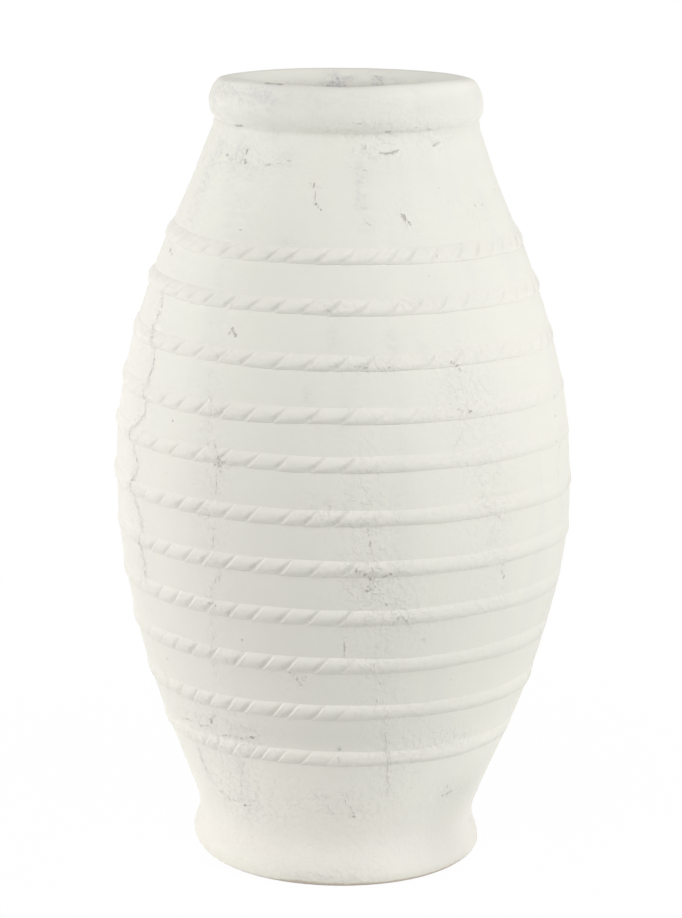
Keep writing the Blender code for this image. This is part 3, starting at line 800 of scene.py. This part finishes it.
def washed_clay(name, wash, other_wash, clay_shows, brush_mm, grain_mm, flaky):
    """Limewash in two tones brushed over fired clay, which shows through it, flaking a little everywhere."""
    material, tree = empty_material(name)
    grain = use_group(tree, clay_grain, Coarse_mm=grain_mm, Fine_mm=0.4 * grain_mm)
    brush = use_group(tree, brush_marks, Depth_mm=brush_mm)
    cracks = use_group(tree, hairlines, Width_mm=HAIRLINE_WIDTH_MM, Depth_mm=HAIRLINE_DEPTH_MM)
    pits = use_group(tree, burst_pits, Depth_mm=PIT_DEPTH_MM)
    stained, bared, rough = carried(tree, "skin")
    coat_and_painted_light, warm, painted_light_share = carried(tree, "wash")
    crazed = maths("ADD", cracks["Crazed"] * 0.4, rough + flaky, clamp=True)
    flakes = use_group(tree, flaking, Amount=crazed)

    drips = mottle(tree, 34.0, 2.0, 0.5, stretch=(1.0, 0.16), skew=6.0).eased(0.50, 0.70, 0.0, 0.2)
    specks = mottle(tree, 380.0, 5.0, 0.8, skew=8.0).eased(0.40, 0.65)
    smears = mottle(tree, 70.0, 3.0, 0.6, stretch=(1.0, 2.5), skew=13.0).eased(0.36, 0.62)
    thin_wash_and_shade = bared + (mottle(tree, 120.0, 4.0, 0.7, skew=11.0) * 1.2 - 0.6)
    bare = thin_wash_and_shade.eased(0.35, 0.85) * clay_shows
    colour = blend(mottle(tree, 9.0, 3.0, 0.55).eased(0.38, 0.62), wash, other_wash)
    for share, tint in (
        (drips, DRIP_TINT),
        (brush["Tone"].eased(0.35, 0.65, 0.0, 0.06), BRUSH_SHADE),
        (warm, PINK_WASH),
        # thin wash, which also paints shade
        (coat_and_painted_light.eased(1.5, -0.2, 0.0, 0.62), THIN_WASH_AND_SHADE),
        # painted light
        (painted_light_share, PAINTED_LIGHT),
        (smears * (specks + 0.15) * stained * 0.66, SOOT),
        (bare, blend(grain["Tone"], BARE_CLAY, PALE_CLAY)),
        (flakes["Mask"] * 0.12, CRACK_SHADE),
        # pale rims round the pits, and a painted highlight along one side of each crack
        (maths("MAXIMUM", cracks["Highlight"], pits["Rim"]) * 0.75, PALE_RIM_AND_HIGHLIGHT),
        (cracks["Mask"] * 0.4, CRACK_SHADE),
        (pits["Mask"] * 0.4, PIT_SHADE),
    ):
        colour = blend(share, colour, tint)

    height = grain["Height"] + brush["Height"] + (cracks["Height"] + pits["Height"])
    height = height + flakes["Height"] * FLAKE_MM - bare * BARED_MM
    roughness = maths("ADD", grain["Tone"] * 0.16 + 0.80, bare * 0.06, clamp=True)
    finish_clay(colour, roughness, height)
    return material


PINK_WASH = (0.873, 0.832, 0.775, 1.0)
# Thin wash, which also serves for painted shade
THIN_WASH_AND_SHADE = (0.60, 0.60, 0.555, 1.0)
# The pale tint of painted light
PAINTED_LIGHT = (0.920, 0.912, 0.835, 1.0)
DRIP_TINT = (0.755, 0.762, 0.775, 1.0)
BRUSH_SHADE = (0.72, 0.71, 0.66, 1.0)
worn_limewash = washed_clay(
    "worn_limewash", (0.865, 0.850, 0.785, 1.0), (0.850, 0.838, 0.780, 1.0),
    clay_shows=0.42, brush_mm=0.10, grain_mm=0.16, flaky=0.14,
)

FOOT_ROWS_MM = np.concatenate([np.linspace(0.0, 3.0, 6)[:-1], np.linspace(3.0, WAIST_HEIGHT_MM, 25)])
FOOT_COLUMNS = 720
FLOOR_SEAT_MM = 4.0
FLOOR_SEAT_WIDTH_MM = 8.0
# The height from which the hand left its marks in full, then how bare the edge is worn at the ground and the
# height by which that has faded to a third
GRIPPED_FROM_MM = 6.0
WORN_EDGE = 0.72
WORN_EDGE_MM = 5.0
WORN_EDGE_PLACES = (
    # azimuth, height, half width in degrees, half height in millimetres, and how much more the edge is worn
    (-14, 2, 9, 4.6, 0.7), (4, 1.4, 12, 3, 0.7), (58, 3, 9, 4.4, 1), (36, 1.5, 12, 2.8, 0.7),
    (-160, 3, 20, 4, 0.8), (120, 2, 14, 3.5, 0.8), (-95, 2, 10, 3, 0.6),
)
WORN_PLACE = 0.8

azimuth = all_round(FOOT_COLUMNS)
seat = inside_radius(WAIST_HEIGHT_MM)
bore = seat - FLOOR_SEAT_WIDTH_MM
inner = np.array([
    (seat, WAIST_HEIGHT_MM), (seat, 28.0), (seat, 16.0),
    (seat, FLOOR_SEAT_MM), (bore, FLOOR_SEAT_MM), (bore, 0.0),
])
outer_rows = len(FOOT_ROWS_MM)
height_mm = np.concatenate([FOOT_ROWS_MM, inner[:, 1]])[:, None] + 0 * azimuth
radius_mm = np.concatenate([outside_radius(FOOT_ROWS_MM), inner[:, 0]])[:, None] + 0 * azimuth
grip = part_way(height_mm[:outer_rows], 0.0, GRIPPED_FROM_MM)
radius_mm[:outer_rows] += grip * hand_shaping(azimuth, height_mm[:outer_rows])
worn_edge = WORN_EDGE * hump(height_mm, WORN_EDGE_MM)
worn_edge += WORN_PLACE * patches(WORN_EDGE_PLACES, azimuth + 0 * height_mm, height_mm)
worn_edge[outer_rows:] = 1.0
foot = thrown_ring("foot_ring_clay", azimuth, height_mm, radius_mm, slice(outer_rows, None), worn_edge)
hand_off(foot, "foot_ring", worn_limewash)


# The lower wall
# The first half of the body, coiled up from the foot and smoothed by hand while the wheel turned.
# It ends in a tongue behind the sixth rope, where the upper half was luted on.
ROPE_HEIGHTS_MM = (112.3, 151.7, 191.2, 230.1, 267.7, 305.9, 345.3, 379.4, 417.5, 455.4, 490.2)
ROPE_HALF_HEIGHT_MM = 6.2
WALL_COLUMNS = 560
OPEN_ROW_MM = 2.0
HIDDEN_ROW_MM = 4.0
INSIDE_ROW_MM = 8.0
TONGUE_MM = 5.0
TONGUE_HALF_WIDTH_MM = 2.1
TONGUE_TAPER_MM = 0.6
SEAM_MM = ROPE_HEIGHTS_MM[5]
NECK_MM = 572.6
# The inside is waved more than the outside, and by marks that lie round and up from those outside
INSIDE_WAVE = 1.5
INSIDE_TURN = 40.0
INSIDE_LIFT_MM = 90.0
# Where the wash inside starts to fade, how far down it is gone, and how much clay shows through it above
INSIDE_WASH_FADES_MM = (530.0, -50.0)
INSIDE_WASH_THIN = 0.15

limewash = washed_clay(
    "limewash", (0.865, 0.856, 0.780, 1.0), (0.850, 0.844, 0.780, 1.0),
    clay_shows=0.9, brush_mm=0.02, grain_mm=0.06, flaky=0.10,
)


def wall_rows(low, high):
    """Heights up the outside, close together where the wall shows and further apart behind the ropes."""
    rows = [low]
    while rows[-1] < high:
        behind = any(abs(rows[-1] - rope) < ROPE_HALF_HEIGHT_MM - 2 for rope in ROPE_HEIGHTS_MM)
        rows.append(rows[-1] + (HIDDEN_ROW_MM if behind else OPEN_ROW_MM))
    rows = np.array(rows)
    return low + (rows - low) * (high - low) / (rows[-1] - low)


def seam_rows(height, gap):
    """The tongue on top of a wall, as (radius, height) from outside in, or with a gap its groove."""
    middle = 0.5 * (outside_radius(height) + inside_radius(height))
    half = TONGUE_HALF_WIDTH_MM + gap
    tip = half - TONGUE_TAPER_MM
    top = height + TONGUE_MM + gap
    across = np.array([half, tip, -tip, -half])
    return np.stack([middle + across, np.array([height, top, top, height])], -1)


def raise_wall(name, low, high, node):
    azimuth = all_round(WALL_COLUMNS)
    outside = wall_rows(low, high)
    inside = np.linspace(high, low, int((high - low) / INSIDE_ROW_MM))
    tongue = seam_rows(high, 0.0)
    section = np.concatenate([
        np.stack([outside_radius(outside), outside], -1), tongue,
        np.stack([inside_radius(inside), inside], -1), seam_rows(low, SLIP_GAP_MM)[::-1],
    ])
    count = len(outside)
    first = count + len(tongue)
    last = first + len(inside)
    height_mm = section[:, 1:] + 0 * azimuth
    shaped = np.zeros_like(height_mm)
    shaped[:count] = hand_shaping(azimuth, height_mm[:count])
    inner_height = height_mm[first:last]
    shaped[first:last] = INSIDE_WAVE * hand_shaping(azimuth + INSIDE_TURN, inner_height + INSIDE_LIFT_MM)
    bare = np.zeros_like(height_mm)
    unwashed = part_way(inner_height, *INSIDE_WASH_FADES_MM)
    bare[first:last] = INSIDE_WASH_THIN + (1 - INSIDE_WASH_THIN) * unwashed
    bare[count:first] = bare[last:] = 1.0
    piece = thrown_ring(name, azimuth, height_mm, section[:, :1] + shaped, slice(count, None), bare)
    hand_off(piece, node, limewash)


raise_wall("lower_wall_clay", WAIST_HEIGHT_MM, SEAM_MM, "lower_wall")


# The upper wall
# The second half of the body, raised on the first and drawn in over the shoulder to the neck.
# Inside, the wash was brushed only as far down as the hand reaches, and bare clay shows below it.
raise_wall("upper_wall_clay", SEAM_MM, NECK_MM, "upper_wall")


# The ropes
# Rolls of clay laid round the wet body, pressed on and twisted by the fingers as they went round.
# Each twist leaves a slanting notch, crisp on the left of the photographed side and worn away on the right.
rope_limewash = washed_clay(
    "rope_limewash", (0.872, 0.859, 0.785, 1.0), (0.857, 0.845, 0.785, 1.0),
    clay_shows=0.9, brush_mm=0.02, grain_mm=0.06, flaky=0.28,
)
ROPE_COLUMNS = 1440
ROPE_SECTION_MM = (
    # height over the rope's middle and how proud of the wall it is, from its lower edge up and back inside
    (-4.9, -1.4), (-5.5, -0.8), (-5.8, -0.2), (-5.6, 0.3), (-5.1, 0.75), (-4.3, 1.2), (-3.4, 1.6),
    (-2.4, 1.93), (-1.3, 2.15), (-0.2, 2.22), (0.9, 2.15), (2, 1.95), (3.1, 1.6), (4.1, 1.12), (5, 0.58),
    (5.8, 0.02), (6.5, -0.6), (6.9, -1.2), (6.5, -1.8),
)
RUBBED_SECTION_MM = (
    # the same where hands rubbed it flat while the clay was wet
    (-4.8, -1.4), (-5.4, -0.85), (-5.8, -0.35), (-5.9, 0.1), (-5.6, 0.5), (-5, 0.85), (-4.2, 1.08),
    (-3.3, 1.18), (-2.2, 1.2), (-0.9, 1.12), (0.5, 0.98), (1.9, 0.8), (3.3, 0.6), (4.7, 0.4), (6, 0.22),
    (7.4, 0.03), (8.6, -0.25), (9, -0.9), (8.4, -1.8),
)
RUBBED_AROUND = (
    # how far it is rubbed flat, at each azimuth
    (-180, 0.3), (-130, 0.2), (-95, 0.3), (-70, 0.3), (-50, 0.1), (-30, 0), (15, 0), (30, 0.25), (48, 0.7),
    (62, 1), (100, 1), (125, 0.6), (150, 0.3), (180, 0.3),
)
DROOP_MM = (
    # how far the wet ropes sagged, at each azimuth
    (-180, 1.3), (-90, 1.2), (-60, 1.3), (0, 1.4), (45, 1.5), (60, 1.8), (75, 2.6), (95, 2.5), (130, 1.5),
    (180, 1.3),
)
ROPE_ROWS = 44
ROPES = (
    # For each rope from the lowest up: how deep its crisp notches are, the azimuth that they are crisp up to,
    # how deep the worn ones beyond are, how tall it is where crisp, how proud it stands on the left and on
    # the right, 1 being as its section, and the azimuths of the notches that show
    (0.6, -8, 0.03, 1.15, 0.85, 0.62, (-44, -37, -30, -26, -20, -12, -4)),
    (0.92, -4, 0.04, 1.15, 0.87, 1.05, (-63, -56, -49, -42, -35, -29, -20, -15.5, -8, -1)),
    (1, -3, 0.05, 1.15, 0.92, 0.1, (-59, -52, -45, -38, -29.5, -21.5, -15, -7)),
    (1, 0, 0.04, 1.13, 0.85, 0.25, (-56, -49, -43.5, -37, -30, -23.5, -16, -9, -1)),
    (1, 0, 0.04, 1.08, 0.65, 0.9, (-64, -56, -50, -42.5, -37, -30, -22.5, -15.5, -8)),
    (1, 1, 0.05, 1.07, 1.22, 0.85, (-58, -51, -44, -38, -30, -23.5, -15, -9, -2)),
    (1, 1, 0.07, 1.07, 1.1, 0.4, (-62, -55, -47, -39, -31.5, -23.5, -16, -7.5, 0)),
    (1, 2, 0.20, 1.06, 1.1, 0.7, (-60, -53, -46, -39, -32, -24.5, -17, -8.5, 0)),
    (1, 4, 0.28, 1, 1.07, 1.15, (-58, -51, -42.5, -35, -27, -18, -10, -2, 5, 12.5, 22, 30)),
    (1, 1, 0.32, 1, 1.45, 1.55, (-57, -50, -43, -35, -27, -19.5, -11.5, -4, 4, 13, 20, 28, 36, 44, 52)),
    (1, -5, 0.45, 1, 1.15, 1.3, (-50, -41, -33, -24, -17.5, -8, 0, 8, 14, 20, 28, 38, 46, 54)),
)
# Degrees from the front where a rope begins to change to its fullness at the sides, and how many more that
# takes, then the azimuth where it begins to change to its crisp form, and how many degrees that takes
SIDES = (35.0, 35.0)
STILL_CRISP = (20.0, -20.0)
# Degrees between the notches that are out of sight, how many such steps the last gap may be, how far round a
# notch leans as it goes up, and how many degrees it lies to the right of its azimuth in the table
TWIST_STEP = 7.5
LAST_GAP_STEPS = 1.6
TWIST_LEAN = 0.97
NOTCH_SHIFT = 1.3
# How worn the notches are on the back, within how many degrees they change from crisp to worn in front, and
# how deep they still are between two azimuths on the left
FRONT_HALF_WIDTH = 75.0
BACK_WORN = 0.35
WEARS_WITHIN = 7.0
LEFT_WORN = (-95.0, -57.0)
LEFT_WORN_DEPTH = 0.45
# The form of a notch: a slow fall of the strand before it, a steep rise to the next, and a ridge past that
NOTCH_MM = 1.75
NOTCH_FALL_MM = 4.6
LONG_FALL_MM = 13.0
NOTCH_RISE_MM = 1.2
RIDGE_MM = 0.28
RIDGE_AT_MM = 2.0
CREST_TURN_MM = 2.2
# The height over the rope's middle where each of these starts, and how far up or down from there it is full.
# The last three place the painted shade under the rope and the painted highlights on its top
LOWER_SIDE_MM = (-2.5, -2.5)
NOTCH_TOP_MM = (6.4, -3.6)
NOTCH_FOOT_MM = (-5.8, 2.6)
SHADE_UNDER_MM = (-0.8, -3.6)
LIGHTER_ON_TOP_MM = (0.4, 3.0)
HIGHLIGHT_ON_TOP_MM = (-1.5, 5.5)
# How much painted highlight lies on top, as thicker wash, and how much painted shade in a notch, as thinner
# wash, and how deep in the wall the clay is bare
LIGHTER_ON_TOP = 0.45
SHADE_IN_NOTCH = 0.45
TUCKED_BEHIND_MM = -0.8
ROPE_SHADE_AND_HIGHLIGHT = (
    # azimuth, how much shade is painted under the lower, middle and upper ropes as thinner wash, and how much
    # highlight is painted on top of them as a pale crust
    (-180, 0.5, 0.5, 0.4, 0.1, 0.1, 0), (-60, 0.3, 0.3, 0.2, 0, 0, 0), (-38, 0.4, 0.4, 0.2, 0, 0.1, 0),
    (-24, 0.65, 0.8, 0.65, 0.2, 0.2, 0), (-12, 0.75, 1, 0.85, 0.4, 0.3, 0.1),
    (0, 0.75, 1, 0.85, 0.4, 0.3, 0.1), (12, 0.8, 0.6, 0.5, 0.2, 0.1, 0), (32, 0.8, 0.15, 0, 0, 0, 0),
    (55, 0.65, 0.35, 0, 0.3, 0, 0), (75, 0.4, 0.2, 0, 0.2, 0, 0), (110, 0.4, 0.3, 0.2, 0.1, 0, 0),
    (180, 0.5, 0.5, 0.4, 0.1, 0.1, 0),
)
LOWER_MIDDLE_UPPER = (2.5, 6.5, 10.0)


def along_the_curve(points, count):
    """Points spread evenly along a smooth curve through the given ones."""
    points = np.array(points)
    run = np.concatenate([[0.0], np.cumsum(np.hypot(*np.diff(points, axis=0).T))])
    at = np.linspace(0.0, run[-1], count)
    return np.stack([smooth_through(np.stack([run, points[:, k]], -1), at) for k in (0, 1)], -1)


def lay_rope(number):
    crisp_depth, crisp_until, worn_depth, tall, left, right, seen = ROPES[number - 1]
    height = ROPE_HEIGHTS_MM[number - 1]
    azimuth = all_round(ROPE_COLUMNS)
    from_front = turned_away(azimuth, 0.0)
    mm_a_degree = outside_radius(height) * np.pi / 180
    touch = np.random.default_rng(100 + number)

    # The notches round the rope and how deep each is
    twists = list(seen)
    while twists[-1] < seen[0] + 360 - LAST_GAP_STEPS * TWIST_STEP:
        twists.append(twists[-1] + TWIST_STEP * touch.uniform(0.86, 1.14))
    depths = []
    for twist in twists:
        at = turned_away(twist, 0.0)
        in_front = abs(at) < FRONT_HALF_WIDTH
        worn = part_way(at, crisp_until, WEARS_WITHIN) if in_front else BACK_WORN
        depth = crisp_depth * touch.uniform(0.85, 1.1)
        depth *= 1 - worn + worn * worn_depth * touch.uniform(0.6, 1.4)
        depths.append(depth * (LEFT_WORN_DEPTH if LEFT_WORN[0] < at < LEFT_WORN[1] else 1.0))
    edges = np.array(twists + [twists[0] + 360.0])
    edge_depths = np.array(depths + depths[:1])

    def waves(least, most, turns):
        """Unevenness of the hand, as waves that go round so many times."""
        turn = np.radians(azimuth)
        return sum(touch.uniform(least, most) * np.sin(n * turn + touch.uniform(0, 6.3)) for n in turns)

    wander = waves(0.12, 0.35, (1, 2, 3, 5, 8))
    swell = 1.0 + waves(0.02, 0.06, (2, 5, 9, 14, 23))

    # The section at each azimuth, crisp or rubbed flat
    flat = np.clip(smooth_through(RUBBED_AROUND, from_front), 0.0, 1.0)
    crisp, rubbed = (along_the_curve(points, ROPE_ROWS) for points in (ROPE_SECTION_MM, RUBBED_SECTION_MM))
    lift, proud = (crisp[:, k:k + 1] + flat * (rubbed - crisp)[:, k:k + 1] for k in (0, 1))
    side = part_way(np.abs(from_front), *SIDES)
    fuller = 1.0 + side * (np.where(from_front < 0, left, right) - 1.0)
    proud = np.where(proud > 0, proud * fuller, proud)

    # The notches pressed into it
    along = (azimuth - NOTCH_SHIFT - edges[0]) % 360.0 + edges[0]
    strand = np.clip(np.searchsorted(edges, along, side="right") - 1, 0, len(twists) - 1)
    past = (along - edges[strand]) * mm_a_degree
    ahead = (edges[strand + 1] - along) * mm_a_degree
    depth_behind = edge_depths[strand]
    near, far = (np.clip(1.0 - ahead / fall, 0.0, 1.0) for fall in (NOTCH_FALL_MM, LONG_FALL_MM))
    falling = 0.7 * near ** 1.3 + 0.3 * far
    rising = depth_behind * hump(past, NOTCH_RISE_MM)
    notch = np.maximum(edge_depths[strand + 1] * falling, rising)
    lower = part_way(lift, *LOWER_SIDE_MM)
    ridge = depth_behind * hump(past - RIDGE_AT_MM, NOTCH_RISE_MM) * (1.0 - 0.7 * lower)
    reach = part_way(lift, *NOTCH_TOP_MM) * part_way(lift, *NOTCH_FOOT_MM)
    stand = proud * swell + (RIDGE_MM * ridge - NOTCH_MM * notch) * reach * part_way(proud, 0.0, 0.7)
    turned = past / (past + ahead) - 0.5
    crest_turn = CREST_TURN_MM * turned * np.minimum(depth_behind, 1.0) * hump(lift + 1.0, 3.0)
    still_crisp = part_way(from_front, *STILL_CRISP) * (1.0 - flat) * (1.0 - 0.5 * side)
    taller = 1.0 + (tall - 1.0) * still_crisp
    rise = taller * lift * (0.5 + 0.5 * swell) + lower * (0.3 * notch - 0.2 * ridge) + crest_turn
    rise = rise - smooth_through(DROOP_MM, from_front)
    height_mm = height + wander + rise
    azimuth = azimuth + TWIST_LEAN * lift / mm_a_degree
    radius_mm = outside_radius(height_mm) + hand_shaping(azimuth, height_mm) + stand

    # How the wash lies on it, with shade painted under it and in its notches, and highlight painted on its top
    shade_and_highlight_at = [[np.interp(number, LOWER_MIDDLE_UPPER, row[k:k + 3]) for row in ROPE_SHADE_AND_HIGHLIGHT] for k in (1, 4)]
    thin_wash_and_shade, highlight_share = (np.interp(from_front, [row[0] for row in ROPE_SHADE_AND_HIGHLIGHT], shares) for shares in shade_and_highlight_at)
    shade_under = thin_wash_and_shade * part_way(lift, *SHADE_UNDER_MM) * (1.0 + 0.5 * turned) + SHADE_IN_NOTCH * notch * reach
    coat_and_painted_light = 1.0 - shade_under + LIGHTER_ON_TOP * part_way(lift, *LIGHTER_ON_TOP_MM) * still_crisp
    top_highlight = highlight_share * part_way(lift, *HIGHLIGHT_ON_TOP_MM)
    bare = 1.0 * (proud < TUCKED_BEHIND_MM)
    name = "rope_%02d_clay" % number
    piece = thrown_ring(name, azimuth, height_mm, radius_mm, slice(0, 0), bare, coat_and_painted_light, top_highlight)
    hand_off(piece, "rope_band_%02d" % number, rope_limewash)


for number in range(1, len(ROPES) + 1):
    lay_rope(number)


# The lip
# A heavy roll of clay set on the neck and rounded over between finger and thumb.
# Its crown stands higher at the photographed side than at the back, and a cove runs under its bulge.
LIP_COLUMNS = 720
LIP_OUTSIDE_MM = (
    # radius and height, from the neck up over the bulge and the crown and down inside
    (99.9, 572.6), (99.7, 573.2), (99.6, 573.9), (99.9, 574.7), (100.9, 575.8), (102, 577.4),
    (102.7, 579.9), (102.9, 583.2), (102.7, 585.6), (102.2, 587.9), (101.2, 590.7), (99.9, 593.6),
    (98.1, 596.6), (95.4, 599.4), (92.4, 600.4), (89.2, 599.6), (85.8, 597.4), (82.8, 594.4), (80.6, 590.6),
    (79.8, 586), (80.4, 581), (82.8, 577), (85.6, 574.4), (87.6, 572.6),
)
LIP_ROWS = 100
CROWN_LIFT_MM = (
    # how much higher the roll stands, at each azimuth
    (-180, -1), (-140, -0.4), (-127, -0.1), (-114, 0.6), (-100, 1.8), (-90, 3), (-75, 4), (-60, 5.6),
    (-40, 7.2), (-20, 7.3), (0, 7.2), (24, 8.6), (40, 8.6), (57, 7.8), (75, 5), (90, 3.2), (104, 1.8),
    (122, 0.9), (142, -0.1), (180, -1),
)
# The height at which that lift starts, and how far up from there it is full
LIFTED_FROM_MM = (574.5, 10.5)
THICK_LIP = (
    # azimuth and half width in degrees, and in millimetres how much thicker the roll is there and how much
    # higher its inner side stands
    (-72, 34, 7, 3.5), (76, 24, 4, 2.5),
)
# The radius at which the inner side starts and how far in it is full, the height over which it lies, and how
# many rows past the crown its wash is that of the inside
INNER_SIDE_MM = (94.0, -9.0)
INNER_SIDE_OVER_MM = 580.0
INNER_ROWS_PAST_CROWN = 4
# Shade is painted in the cove under the bulge, as thinner wash: how much, and its place and half widths, up
# and round
COVE_SHADE = 0.45
COVE_SHADE_UP_MM = (580.5, 6.0)
COVE_SHADE_ROUND = (-16.0, 46.0)

azimuth = all_round(LIP_COLUMNS)
from_front = turned_away(azimuth, 0.0)
groove = seam_rows(NECK_MM, SLIP_GAP_MM)[::-1]
section = np.concatenate([along_the_curve(LIP_OUTSIDE_MM, LIP_ROWS), groove])
height_mm = section[:, 1:] + 0 * azimuth
radius_mm = section[:, :1] + 0 * azimuth
raised = part_way(height_mm, *LIFTED_FROM_MM)
raised = raised * raised * (3 - 2 * raised)
raised[LIP_ROWS:] = 0.0
height_mm += raised * smooth_through(CROWN_LIFT_MM, from_front)
radius_mm[:LIP_ROWS] += hand_shaping(azimuth, height_mm[:LIP_ROWS])
inner_side = part_way(section[:, :1], *INNER_SIDE_MM) * (section[:, 1:] > INNER_SIDE_OVER_MM)
inner_side[LIP_ROWS:] = 0.0
for at, degrees, thicker_mm, rise_mm in THICK_LIP:
    thick = inner_side * hump(turned_away(azimuth, at), degrees)
    radius_mm -= thicker_mm * thick
    height_mm += rise_mm * thick
bare = np.zeros_like(radius_mm)
bare[LIP_ROWS:] = 1.0
cove_shade = hump(height_mm - COVE_SHADE_UP_MM[0], COVE_SHADE_UP_MM[1])
cove_shade = cove_shade * hump(from_front - COVE_SHADE_ROUND[0], COVE_SHADE_ROUND[1], 4)
inner_from = int(np.argmax(section[:LIP_ROWS, 1])) + INNER_ROWS_PAST_CROWN
coat_and_painted_light = 1.0 - COVE_SHADE * cove_shade
lip = thrown_ring("lip_coil_clay", azimuth, height_mm, radius_mm, slice(inner_from, None), bare, coat_and_painted_light)
hand_off(lip, "lip_coil", limewash)
